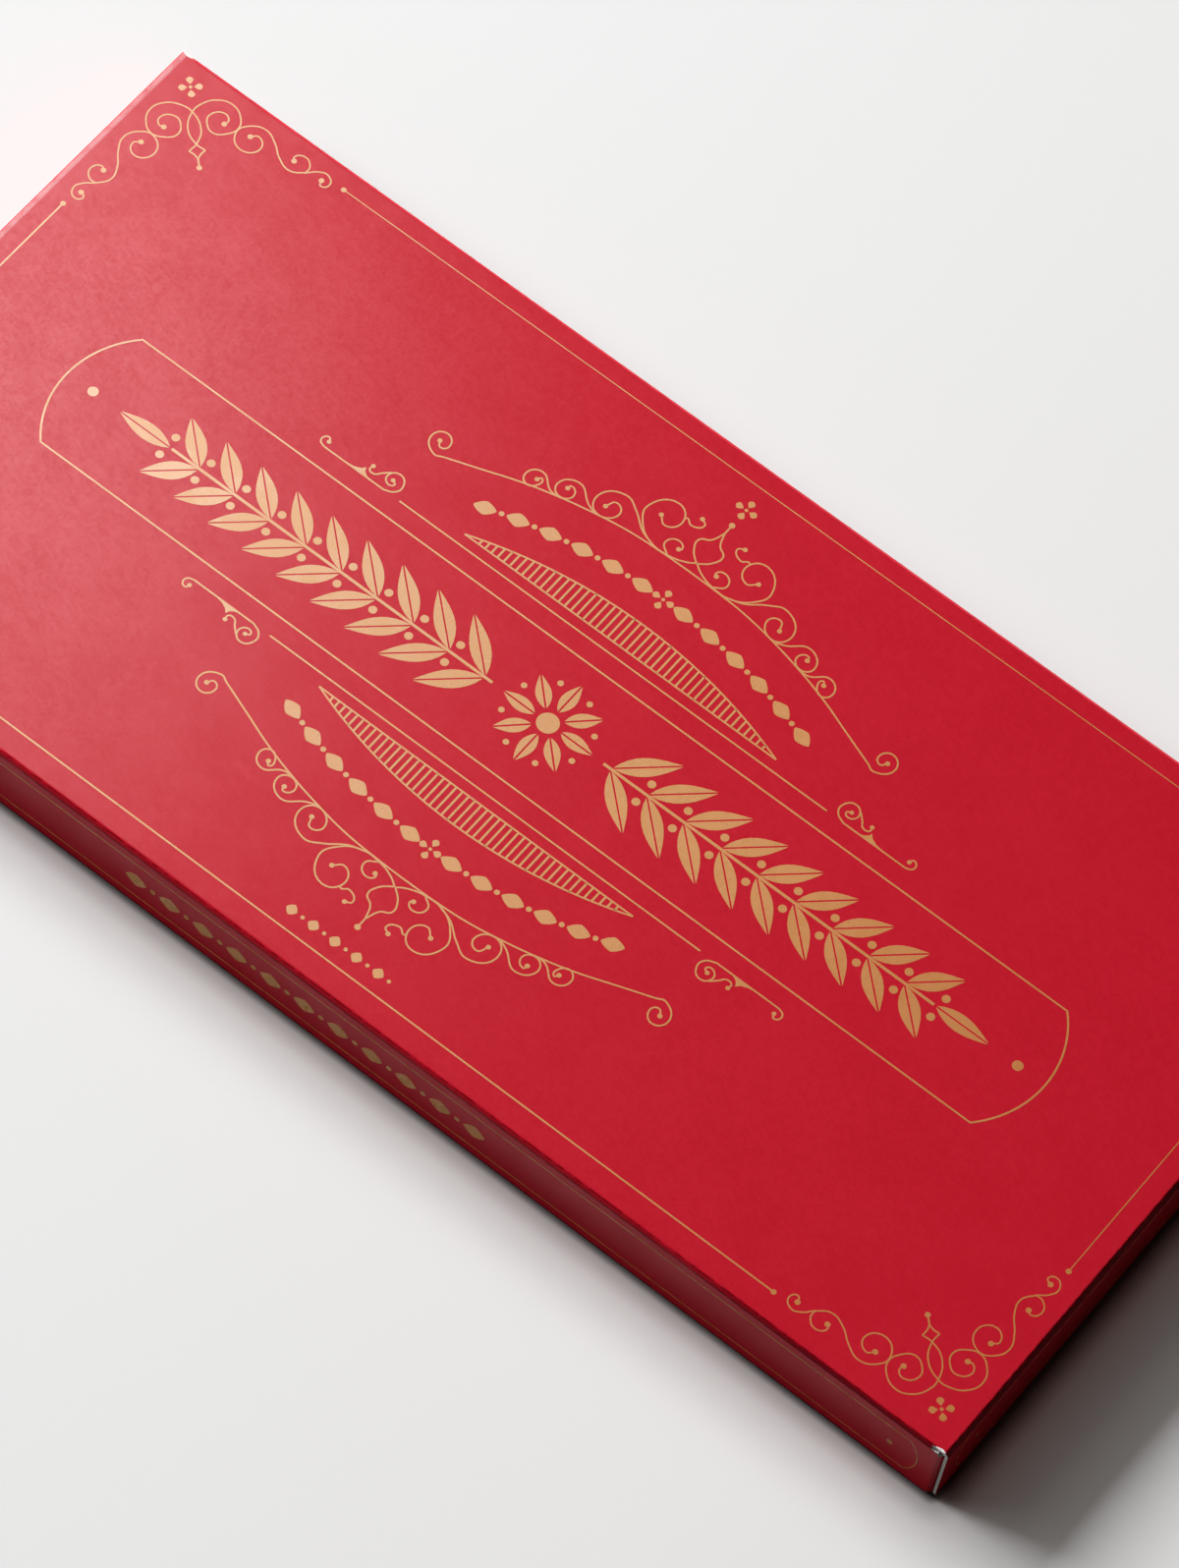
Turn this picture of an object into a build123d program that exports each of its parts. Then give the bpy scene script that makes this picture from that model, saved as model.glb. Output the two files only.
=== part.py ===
"""A shallow folding carton for one tablet of chocolate, closed, with the wrapped tablet inside.

One creased blank of printed board makes the box. Its top, front, bottom and back panels form a
sleeve, glued at the back. At each end a closure panel hangs from the top, over a low inner flap
that stands up from the bottom and two dust flaps that turn in from the front and the back.

Millimetres. +X runs along the length, +Y to the back, +Z up; the origin is at the centre of the
underside.
"""
import os
from math import radians, tan

from build123d import *

# The closed box
LENGTH = 162.0
WIDTH = 79.8
HEIGHT = 10.0

# The board and its folds
BOARD = 0.35            # thickness of the board
FOLD_RADIUS = 0.55      # outside radius of a fold
LAYER_GAP = 0.15        # air between the closure and the flaps behind it
EDGE_GAP = 0.25         # a cut edge stays this far inside the face beside it
SLIT_LENGTH = 1.9       # the top panel is cut free of its sides this near to each end

# The closure panel
CLOSURE_FOOT = 0.15     # clearance under its lower edge
CLOSURE_CORNER = 0.9    # radius of its lower corners

# The inner flap that stands up behind the closure
INNER_FLAP_HEIGHT = 5.4
INNER_FLAP_SIDE_GAP = 0.35  # between its root and the dust flaps' free edges
INNER_FLAP_DRAFT = 2.5  # how much narrower it is on each side at its free edge
INNER_FLAP_CORNER = 1.4
GLUE_SPOTS = 3
GLUE_SPOT_RADIUS = 2.4
GLUE_SPOT_SPACING = 20.0

# The dust flaps
DUST_FLAP_LENGTH = 9.0
DUST_FLAP_SLOPE = 27.0      # degrees that the upper edge falls away from the closure's crease
DUST_FLAP_HEAD_GAP = 0.4    # under the top panel's fold
DUST_FLAP_FOOT_GAP = 0.25   # over the bottom panel's fold
DUST_FLAP_CORNER = 1.0

# The seam at the back
GLUE_THICKNESS = 0.1
GLUE_FLAP_HEIGHT = 8.0
GLUE_FLAP_INSET = 5.0       # its root stops this far short of each end
GLUE_FLAP_DRAFT = 4.0
GLUE_LINE_HEIGHT = 3.5
GLUE_LINE_INSET = 6.0       # from the glue flap's slanted ends

# The tablet and its wrap
END_ROOM = 5.1              # free length between the wrap and the flaps at each end
SIDE_ROOM = 1.9             # free width on each side of the wrap
HEAD_ROOM = 0.9             # free height over the wrap
WRAP = 0.12                 # the foil with its creases
WRAP_ROOM = 0.15            # air between the foil and the tablet
WRAP_EDGE = 0.9             # rounding of the wrapped edges
END_FOLD_SHARE = 0.55       # width of an end fold's free edge against the wrap's width
ROWS = 4
COLUMNS = 8
TABLET_BASE = 3.0
TABLET_CORNER = 1.5
GROOVE = 1.3
SQUARE_DRAFT = 18.0         # degrees
SQUARE_EDGE = 0.35

# Places that the sizes above settle
END_X = LENGTH / 2
FRONT_Y = -WIDTH / 2
FOLD_INSIDE = FOLD_RADIUS - BOARD
CREASE_Z = HEIGHT - FOLD_RADIUS
FLAP_X = END_X - BOARD - LAYER_GAP      # outer face of the flaps behind the closure
WALL_END_X = FLAP_X - FOLD_RADIUS       # where the side walls turn into the dust flaps
SLIT_X = END_X - SLIT_LENGTH
SIDE_TURN_Y = WIDTH / 2 - FOLD_RADIUS
GLUE_FACE_Y = WIDTH / 2 - BOARD - GLUE_THICKNESS
GLUE_TURN_Y = GLUE_FACE_Y - FOLD_RADIUS
DUST_FOOT_Z = FOLD_RADIUS + DUST_FLAP_FOOT_GAP
DUST_HEAD_Z = CREASE_Z - DUST_FLAP_HEAD_GAP
INNER_FLAP_WIDTH = 2 * (SIDE_TURN_Y - DUST_FLAP_LENGTH - INNER_FLAP_SIDE_GAP)
WRAP_LENGTH = 2 * (FLAP_X - BOARD - END_ROOM)
WRAP_WIDTH = WIDTH - 2 * (BOARD + SIDE_ROOM)
WRAP_HEIGHT = HEIGHT - 2 * BOARD - HEAD_ROOM


def block(low, high):
    """A box between two corners."""
    size = [b - a for a, b in zip(low, high)]
    centre = [(a + b) / 2 for a, b in zip(low, high)]
    return Pos(*centre) * Box(*size)


def fold(centre, first, run, length):
    """A quarter turn of board about centre, from the direction first, swept both ways along run."""
    ring = Circle(FOLD_RADIUS) - Circle(FOLD_INSIDE)
    quarter = ring & (Pos(FOLD_RADIUS / 2, FOLD_RADIUS / 2) * Rectangle(FOLD_RADIUS, FOLD_RADIUS))
    return Plane(centre, x_dir=first, z_dir=run) * extrude(quarter, amount=length / 2, both=True)


def near_any(vertex, corners):
    """Whether a vertex of a flat outline is one of the given corners."""
    return any((vertex.center() - Vector(*corner)).length < BOARD / 2 for corner in corners)


def sheet(points, corners, radius, plane):
    """A flat piece of board with the given outline; the listed corners are rounded."""
    outline = Polygon(*points, align=None)
    rounded = [v for v in outline.vertices() if near_any(v, corners)]
    return plane * extrude(fillet(rounded, radius), amount=BOARD)


def other_end(solid):
    return mirror(solid, about=Plane.YZ)


def other_side(solid):
    return mirror(solid, about=Plane.XZ)


def top_panel():
    """The top, with the folds at both ends that carry the closures."""
    plate = block((-SLIT_X, -SIDE_TURN_Y, HEIGHT - BOARD), (SLIT_X, SIDE_TURN_Y, HEIGHT))
    cut_y = WIDTH / 2 - EDGE_GAP
    turn_x = END_X - FOLD_RADIUS
    ear = block((SLIT_X, -cut_y, HEIGHT - BOARD), (turn_x, cut_y, HEIGHT))
    ear = ear + fold((turn_x, 0, CREASE_Z), (1, 0, 0), (0, -1, 0), 2 * cut_y)
    return plate + ear + other_end(ear)


def side_wall(foot_z):
    """A front wall: the plate, the fold up to the top panel and the folds into the dust flaps."""
    plate = block((-WALL_END_X, FRONT_Y, foot_z), (WALL_END_X, FRONT_Y + BOARD, CREASE_Z))
    head = fold((0, -SIDE_TURN_Y, CREASE_Z), (0, 0, 1), (1, 0, 0), 2 * SLIT_X)
    middle_z = (DUST_FOOT_Z + DUST_HEAD_Z) / 2
    turn = fold((WALL_END_X, -SIDE_TURN_Y, middle_z), (0, -1, 0), (0, 0, 1), DUST_HEAD_Z - DUST_FOOT_Z)
    return plate + head + turn + other_end(turn)


def front_panel():
    """The front wall, folded at its foot into the bottom panel."""
    foot = fold((0, -SIDE_TURN_Y, FOLD_RADIUS), (0, -1, 0), (1, 0, 0), 2 * WALL_END_X)
    return side_wall(FOLD_RADIUS) + foot


def back_panel():
    """The back wall, with a cut lower edge, glued over the glue flap."""
    return other_side(side_wall(CLOSURE_FOOT))


def bottom_panel():
    """The bottom, folded up at the back into the glue flap and at the ends into the inner flaps."""
    plate = block((-WALL_END_X, -SIDE_TURN_Y, 0), (WALL_END_X, GLUE_TURN_Y, BOARD))
    back = fold((0, GLUE_TURN_Y, FOLD_RADIUS), (0, 0, -1), (1, 0, 0), 2 * (WALL_END_X - GLUE_FLAP_INSET))
    end = fold((WALL_END_X, 0, FOLD_RADIUS), (0, 0, -1), (0, -1, 0), INNER_FLAP_WIDTH)
    return plate + back + end + other_end(end)


def glue_flap():
    """The strip inside the back wall."""
    root = WALL_END_X - GLUE_FLAP_INSET
    tip = root - GLUE_FLAP_DRAFT
    points = [(-root, FOLD_RADIUS), (root, FOLD_RADIUS), (tip, GLUE_FLAP_HEIGHT), (-tip, GLUE_FLAP_HEIGHT)]
    plane = Plane((0, GLUE_FACE_Y, 0), x_dir=(1, 0, 0), z_dir=(0, -1, 0))
    return sheet(points, points[2:], GLUE_FLAP_DRAFT / 2, plane)


def seam_glue():
    """The line of glue between the glue flap and the back wall."""
    half = WALL_END_X - GLUE_FLAP_INSET - GLUE_FLAP_DRAFT - GLUE_LINE_INSET
    middle = (FOLD_RADIUS + GLUE_FLAP_HEIGHT) / 2
    low = (-half, GLUE_FACE_Y, middle - GLUE_LINE_HEIGHT / 2)
    high = (half, GLUE_FACE_Y + GLUE_THICKNESS, middle + GLUE_LINE_HEIGHT / 2)
    return block(low, high)


def closure_panel():
    """The panel that closes the right end, below the top panel's fold."""
    half = WIDTH / 2 - EDGE_GAP
    points = [(-half, CLOSURE_FOOT), (half, CLOSURE_FOOT), (half, CREASE_Z), (-half, CREASE_Z)]
    plane = Plane((END_X, 0, 0), x_dir=(0, -1, 0), z_dir=(-1, 0, 0))
    return sheet(points, points[:2], CLOSURE_CORNER, plane)


def inner_flap():
    """The low flap behind the right closure, above the bottom panel's fold."""
    root = INNER_FLAP_WIDTH / 2
    tip = root - INNER_FLAP_DRAFT
    head = FOLD_RADIUS + INNER_FLAP_HEIGHT
    points = [(-root, FOLD_RADIUS), (root, FOLD_RADIUS), (tip, head), (-tip, head)]
    plane = Plane((FLAP_X, 0, 0), x_dir=(0, -1, 0), z_dir=(-1, 0, 0))
    return sheet(points, points[2:], INNER_FLAP_CORNER, plane)


def glue_spots():
    """The flat spots of glue on the right inner flap, which hold the closure."""
    turned = Plane((FLAP_X, 0, FOLD_RADIUS + INNER_FLAP_HEIGHT / 2), x_dir=(0, 1, 0), z_dir=(1, 0, 0))
    spot = extrude(Circle(GLUE_SPOT_RADIUS), amount=LAYER_GAP)
    places = GridLocations(GLUE_SPOT_SPACING, 0, GLUE_SPOTS, 1)
    return Compound([turned * place * spot for place in places])


def dust_flap():
    """The flap that turns in from the front wall at the right end."""
    drop = DUST_FLAP_LENGTH * tan(radians(DUST_FLAP_SLOPE))
    free = DUST_FLAP_LENGTH
    points = [(0, DUST_FOOT_Z), (free, DUST_FOOT_Z), (free, DUST_HEAD_Z - drop), (0, DUST_HEAD_Z)]
    plane = Plane((FLAP_X - BOARD, -SIDE_TURN_Y, 0), x_dir=(0, 1, 0), z_dir=(1, 0, 0))
    return sheet(points, points[1:3], DUST_FLAP_CORNER, plane)


def foil_wrap():
    """The foil round the tablet, of two layers underneath, where its edges lap."""
    half_x = WRAP_LENGTH / 2
    half_y = WRAP_WIDTH / 2
    head = BOARD + WRAP_HEIGHT
    outside = block((-half_x, -half_y, BOARD), (half_x, half_y, head))
    outside = fillet(outside.edges(), WRAP_EDGE)
    inset = WRAP + WRAP_ROOM
    low = (inset - half_x, inset - half_y, BOARD + 2 * WRAP)
    high = (half_x - inset, half_y - inset, head - WRAP)
    inside = fillet(block(low, high).edges(), WRAP_EDGE - WRAP)
    return outside - inside


def end_fold():
    """The tucked triangle of foil folded over the wrap's right end."""
    root = WRAP_WIDTH / 2 - WRAP_EDGE
    free = root * END_FOLD_SHARE
    low = BOARD + WRAP_EDGE
    high = BOARD + WRAP_HEIGHT - WRAP_EDGE
    points = [(-free, low), (free, low), (root, high), (-root, high)]
    plane = Plane((WRAP_LENGTH / 2, 0, 0), x_dir=(0, 1, 0), z_dir=(1, 0, 0))
    return plane * extrude(Polygon(*points, align=None), amount=WRAP)


def chocolate_tablet():
    """The tablet: a base with rows of drafted squares."""
    inset = WRAP + 2 * WRAP_ROOM
    half_x = WRAP_LENGTH / 2 - inset
    half_y = WRAP_WIDTH / 2 - inset
    foot = BOARD + 2 * WRAP
    head = BOARD + WRAP_HEIGHT - WRAP - WRAP_ROOM
    base = block((-half_x, -half_y, foot), (half_x, half_y, foot + TABLET_BASE))
    base = fillet(base.edges().filter_by(Axis.Z), TABLET_CORNER)
    base = fillet(base.faces().sort_by(Axis.Z)[0].edges(), WRAP_EDGE - WRAP)
    pitch_x = 2 * half_x / COLUMNS
    pitch_y = 2 * half_y / ROWS
    square = RectangleRounded(pitch_x - GROOVE, pitch_y - GROOVE, TABLET_CORNER / 2)
    square = extrude(square, amount=head - foot - TABLET_BASE, taper=SQUARE_DRAFT)
    square = fillet(square.faces().sort_by(Axis.Z)[-1].edges(), SQUARE_EDGE)
    lift = Pos(0, 0, foot + TABLET_BASE)
    squares = [lift * place * square for place in GridLocations(pitch_x, pitch_y, COLUMNS, ROWS)]
    return base + squares


def end_pieces(right):
    """The five pieces at one end, by name."""
    name = "right" if right else "left"
    turn = (lambda solid: solid) if right else other_end
    flap = dust_flap()
    return {
        name + "_closure_panel": turn(closure_panel()),
        name + "_inner_flap": turn(inner_flap()),
        name + "_glue_spots": turn(glue_spots()),
        name + "_front_dust_flap": turn(flap),
        name + "_back_dust_flap": turn(other_side(flap)),
    }


def pieces():
    """Every piece of the box, by name."""
    found = {
        "top_panel": top_panel(),
        "front_panel": front_panel(),
        "bottom_panel": bottom_panel(),
        "back_panel": back_panel(),
        "glue_flap": glue_flap(),
        "seam_glue": seam_glue(),
        "foil_wrap": foil_wrap() + end_fold() + other_end(end_fold()),
        "chocolate_tablet": chocolate_tablet(),
    }
    found.update(end_pieces(right=True))
    found.update(end_pieces(right=False))
    return found


os.makedirs("parts", exist_ok=True)
for node, solid in pieces().items():
    export_step(solid, "parts/" + node + ".step")
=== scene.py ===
"""The red chocolate carton: printed board, gold print, foil wrap, floor, lights and camera.

Metres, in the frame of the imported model: +X along the box, +Y to its back, +Z up. The print is
laid out in millimetres from the middle of each panel.
"""
from math import asin, cos, pi, radians, sin, sqrt

import bmesh
import bpy
from mathutils import Matrix, Vector
from mathutils.noise import noise_vector, seed_set


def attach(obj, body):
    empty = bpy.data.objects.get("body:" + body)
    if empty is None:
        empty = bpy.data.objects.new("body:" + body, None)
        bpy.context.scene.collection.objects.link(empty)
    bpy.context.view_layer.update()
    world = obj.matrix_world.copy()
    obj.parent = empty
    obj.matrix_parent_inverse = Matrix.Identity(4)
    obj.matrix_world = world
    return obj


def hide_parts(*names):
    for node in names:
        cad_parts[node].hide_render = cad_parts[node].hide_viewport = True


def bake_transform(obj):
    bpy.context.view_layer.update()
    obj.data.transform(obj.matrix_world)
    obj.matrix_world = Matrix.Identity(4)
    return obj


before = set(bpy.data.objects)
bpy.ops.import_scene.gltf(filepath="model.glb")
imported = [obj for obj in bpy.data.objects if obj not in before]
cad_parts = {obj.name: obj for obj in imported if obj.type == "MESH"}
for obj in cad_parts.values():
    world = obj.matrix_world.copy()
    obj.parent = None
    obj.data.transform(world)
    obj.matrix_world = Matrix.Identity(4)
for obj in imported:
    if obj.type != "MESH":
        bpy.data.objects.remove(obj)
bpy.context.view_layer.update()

MM = 0.001

# The carton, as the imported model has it
END_X = 81.0 * MM
SIDE_Y = 39.9 * MM
TOP_Z = 10.0 * MM
BOARD = 0.35 * MM
FOLD = 0.55 * MM
PRINT = 0.012 * MM              # the gold stands this far above the red
SHEET = BOARD - PRINT
EAR_Y = 39.65 * MM              # the end folds reach this far to the sides
SLIT_X = 79.1 * MM              # and the long folds this far to the ends
TURN_X = END_X - FOLD
TURN_Y = SIDE_Y - FOLD
CREASE_Z = TOP_Z - FOLD
CLOSURE_FOOT = 0.15 * MM        # free edges keep this far off the floor
CLOSURE_CORNER = 0.9 * MM
FLAP_X = 80.5 * MM
WALL_X = FLAP_X - FOLD
SEAM_Y = 39.45 * MM
SEAM_TURN_Y = SEAM_Y - FOLD
SEAM_HALF = 74.95 * MM          # half the length of the glue flap
DUST_FOOT_Z = 0.8 * MM
DUST_HEAD_Z = 9.05 * MM
DUST_LENGTH = 9.0 * MM
DUST_SLOPE = radians(27)
DUST_CORNER = 1.0 * MM
INNER_HALF = 30.0 * MM
INNER_DRAFT = 2.5 * MM
INNER_HEAD_Z = 5.95 * MM
INNER_CORNER = 1.4 * MM
BLEED = 2.5 * MM                # the red runs this far over a crease onto a flap
LEAD = 0.2 * MM                 # the first of a flap's two hinge points lies this far off its crease
FOLD_STEPS = 8

X, Y, Z = Vector((1, 0, 0)), Vector((0, 1, 0)), Vector((0, 0, 1))


# Working in Blender

def done():
    bpy.ops.object.mode_set(mode="OBJECT")


def deselect():
    if bpy.context.object and bpy.context.object.mode != "OBJECT":
        done()
    bpy.ops.object.select_all(action="DESELECT")


def make_active(obj):
    deselect()
    obj.select_set(True)
    bpy.context.view_layer.objects.active = obj


def edit(obj):
    make_active(obj)
    bpy.ops.object.mode_set(mode="EDIT")
    bpy.ops.mesh.select_all(action="SELECT")


def pick(obj, kind, test):
    """Selects the faces, edges or verts whose middle passes the test, in edit mode."""
    bpy.ops.mesh.select_mode(type=kind[:-1].upper())
    bpy.ops.mesh.select_all(action="DESELECT")
    shape = bmesh.from_edit_mesh(obj.data)
    for part in getattr(shape, kind):
        corners = [part.co] if kind == "verts" else [v.co for v in part.verts]
        part.select_set(test(sum(corners, Vector()) / len(corners)))
    bmesh.update_edit_mesh(obj.data)


def near(value, target):
    return abs(value - target) < 0.002 * MM


def apply_modifier(obj, kind, **settings):
    make_active(obj)
    added = obj.modifiers.new(kind.title(), kind)
    for name, value in settings.items():
        setattr(added, name, value)
    bpy.ops.object.modifier_apply(modifier=added.name)


def apply_place(obj):
    make_active(obj)
    bpy.ops.object.transform_apply(location=True, rotation=True, scale=True)


def named(name):
    """Names the piece just made, and its mesh."""
    obj = bpy.context.object
    obj.name = name
    obj.data.name = name
    return obj


def rectangle(name, centre, size, turn=(0, 0, 0)):
    deselect()
    bpy.ops.mesh.primitive_plane_add(size=1, location=centre, rotation=turn)
    obj = named(name)
    obj.scale = (size[0], size[1], 1)
    apply_place(obj)
    return obj


def cut(point, normal, clear=False):
    """Cuts the selected faces along a plane; clear drops what lies on the side of its normal."""
    bpy.ops.mesh.select_all(action="SELECT")
    bpy.ops.mesh.bisect(plane_co=point, plane_no=normal, clear_outer=clear)


# Materials

def feed(socket, value):
    socket.id_data.links.new(value, socket)


def node(tree, kind, inputs=None, **settings):
    """Adds a node; an input given as a socket is linked, and any other is set."""
    made = tree.nodes.new("ShaderNode" + kind)
    for name, value in settings.items():
        setattr(made, name, value)
    for name, value in (inputs or {}).items():
        if isinstance(value, bpy.types.NodeSocket):
            feed(made.inputs[name], value)
        else:
            made.inputs[name].default_value = value
    return made


def maths(tree, operation, first, second=0.0, third=0.0, clamp=False):
    given = {0: first, 1: second, 2: third}
    return node(tree, "Math", given, operation=operation, use_clamp=clamp).outputs[0]


def times(tree, first, second):
    return maths(tree, "MULTIPLY", first, second)


def hypotenuse(tree, first, second):
    squares = [times(tree, value, value) for value in (first, second)]
    return maths(tree, "SQRT", maths(tree, "ADD", *squares))


def soft_step(tree, value, start, end, low=0.0, high=1.0):
    spread = {"Value": value, "From Min": start, "From Max": end, "To Min": low, "To Max": high}
    return node(tree, "MapRange", spread, interpolation_type="SMOOTHSTEP").outputs["Result"]


def noise(tree, place, per_mm, detail=2.0, roughness=0.5, distortion=0.0):
    given = {"Vector": place, "Scale": per_mm / MM, "Detail": detail,
             "Roughness": roughness, "Distortion": distortion}
    return node(tree, "TexNoise", given).outputs["Fac"]


def blend_colour(tree, factor, first, second):
    """Blends by a Mix node, whose colour sockets are the inputs 6 and 7 and the output 2."""
    return node(tree, "Mix", {0: factor, 6: first, 7: second}, data_type="RGBA").outputs[2]


def new_group(name, outputs, numbers=None):
    """A shader group that takes a place and some numbers with these defaults, and puts out values."""
    tree = bpy.data.node_groups.new(name, "ShaderNodeTree")
    tree.interface.new_socket("Place", in_out="INPUT", socket_type="NodeSocketVector")
    for label, value in (numbers or {}).items():
        socket = tree.interface.new_socket(label, in_out="INPUT", socket_type="NodeSocketFloat")
        socket.default_value = value
    for label in outputs:
        tree.interface.new_socket(label, in_out="OUTPUT", socket_type="NodeSocketFloat")
    return tree, tree.nodes.new("NodeGroupInput").outputs, tree.nodes.new("NodeGroupOutput").inputs


def use_group(tree, group, inputs):
    return node(tree, "Group", inputs, node_tree=group).outputs


def new_material(name, **constants):
    """A material with its Principled shader; spaces in a socket's name are underscores here."""
    made = bpy.data.materials.new(name)
    made.use_nodes = True
    shader = made.node_tree.nodes["Principled BSDF"]
    for socket, value in constants.items():
        shader.inputs[socket.replace("_", " ")].default_value = value
    return made, made.node_tree, shader.inputs


def rest_place(tree):
    """Where a point of the board lies on the closed box."""
    return node(tree, "Attribute", attribute_name="place").outputs["Vector"]


def object_place(tree):
    return node(tree, "TexCoord").outputs["Object"]


def parts_of(tree, place):
    """The x, y and z of a place."""
    return node(tree, "SeparateXYZ", {0: place}).outputs


def emboss(tree, shader, height, depth, strength=1.0):
    """Raises the surface by its height times the depth in mm, in the way it takes the light."""
    bump = node(tree, "Bump", {"Height": height, "Strength": strength, "Distance": depth * MM})
    feed(shader["Normal"], bump.outputs[0])


def fibre_grain():
    """The fine felted surface of paper board: short fibres in all directions, and a soft mottle."""
    tree, given, result = new_group("Fibre grain", ("Height", "Mottle", "Fleck"), {"Fibre length": 1.5})
    place = given["Place"]
    stretch = maths(tree, "DIVIDE", 0.28, given["Fibre length"])
    squeeze = node(tree, "CombineXYZ", {0: stretch, 1: 1.0, 2: 1.0}).outputs[0]
    total = 0.0
    for turn in (20, 78, 140):
        about = {"Vector": place, "Axis": (0.25, 0.25, 1.0), "Angle": radians(turn)}
        turned = node(tree, "VectorRotate", about).outputs[0]
        laid = node(tree, "VectorMath", {0: turned, 1: squeeze}, operation="MULTIPLY").outputs[0]
        total = maths(tree, "ADD", total, noise(tree, laid, 3.2, 1.5, 0.5, 0.3))
    fibres = maths(tree, "DIVIDE", total, 3.0)
    fine = noise(tree, place, 7.0, 1.0)
    feed(result["Height"], maths(tree, "MULTIPLY_ADD", fine, 0.22, fibres))
    broad = noise(tree, place, 0.16, 3.0, 0.6)
    middle = noise(tree, place, 0.9, 2.0)
    mottle = maths(tree, "MULTIPLY_ADD", broad, 0.6, times(tree, middle, 0.4))
    feed(result["Mottle"], soft_step(tree, mottle, 0.36, 0.64))
    feed(result["Fleck"], soft_step(tree, noise(tree, place, 2.6, 2.0), 0.66, 0.8))
    return tree


def scored_line():
    """A thin uneven line where the board was scored: one on a line, nothing beyond its width."""
    tree, given, result = new_group("Scored line", ("Line",), {"Across": 0.0, "Width mm": 0.12})
    wander = maths(tree, "SUBTRACT", noise(tree, given["Place"], 0.7, 2.0), 0.5)
    away = maths(tree, "ABSOLUTE", maths(tree, "MULTIPLY_ADD", wander, 0.16 * MM, given["Across"]))
    share = maths(tree, "DIVIDE", away, times(tree, given["Width mm"], MM))
    line = soft_step(tree, share, 0.0, 1.0, 1.0, 0.0)
    depth = soft_step(tree, noise(tree, given["Place"], 1.3, 2.0), 0.35, 0.6, 0.25, 1.0)
    feed(result["Line"], times(tree, line, depth))
    return tree


FIBRES = fibre_grain()
SCORED = scored_line()
SCORE_IN = 0.26 * MM            # how far past the start of a fold its scored line lies
SCORE_WIDTH = 0.17              # in mm, as the shader group takes it


def crease_groove_and_shade(tree, place):
    """The scored lines on the flat panels and on the walls, and a broad one where a closure starts to turn;
    they sink the surface as a groove and darken the print as painted shade.
    """
    along = parts_of(tree, place)
    level = maths(tree, "ABSOLUTE", maths(tree, "SUBTRACT", along[2], TOP_Z / 2))
    flat = maths(tree, "GREATER_THAN", level, TOP_Z / 2 - 0.12 * MM)
    side = maths(tree, "ADD", along[1], TURN_Y + SCORE_IN)
    end = maths(tree, "SUBTRACT", maths(tree, "ABSOLUTE", along[0]), TURN_X + SCORE_IN)
    wall = maths(tree, "SUBTRACT", level, TOP_Z / 2 - FOLD)
    below = maths(tree, "ADD", wall, 0.3 * MM)
    at_end = maths(tree, "GREATER_THAN", maths(tree, "ABSOLUTE", along[0]), END_X - 0.1 * MM)
    found = 0.0
    for across, keep, width in ((side, flat, SCORE_WIDTH), (end, flat, SCORE_WIDTH),
                                (wall, 1.0, SCORE_WIDTH), (below, at_end, 0.5)):
        line = use_group(tree, SCORED, {"Place": place, "Across": across, "Width mm": width})["Line"]
        found = maths(tree, "MAXIMUM", found, times(tree, line, keep))
    return found


RIM_X = 80.47 * MM              # the painted highlight on the left fold is strongest along this line
SCUFF_X, SCUFF_Y = 80.05 * MM, 39.66 * MM       # the scuffs spread from here


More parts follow.
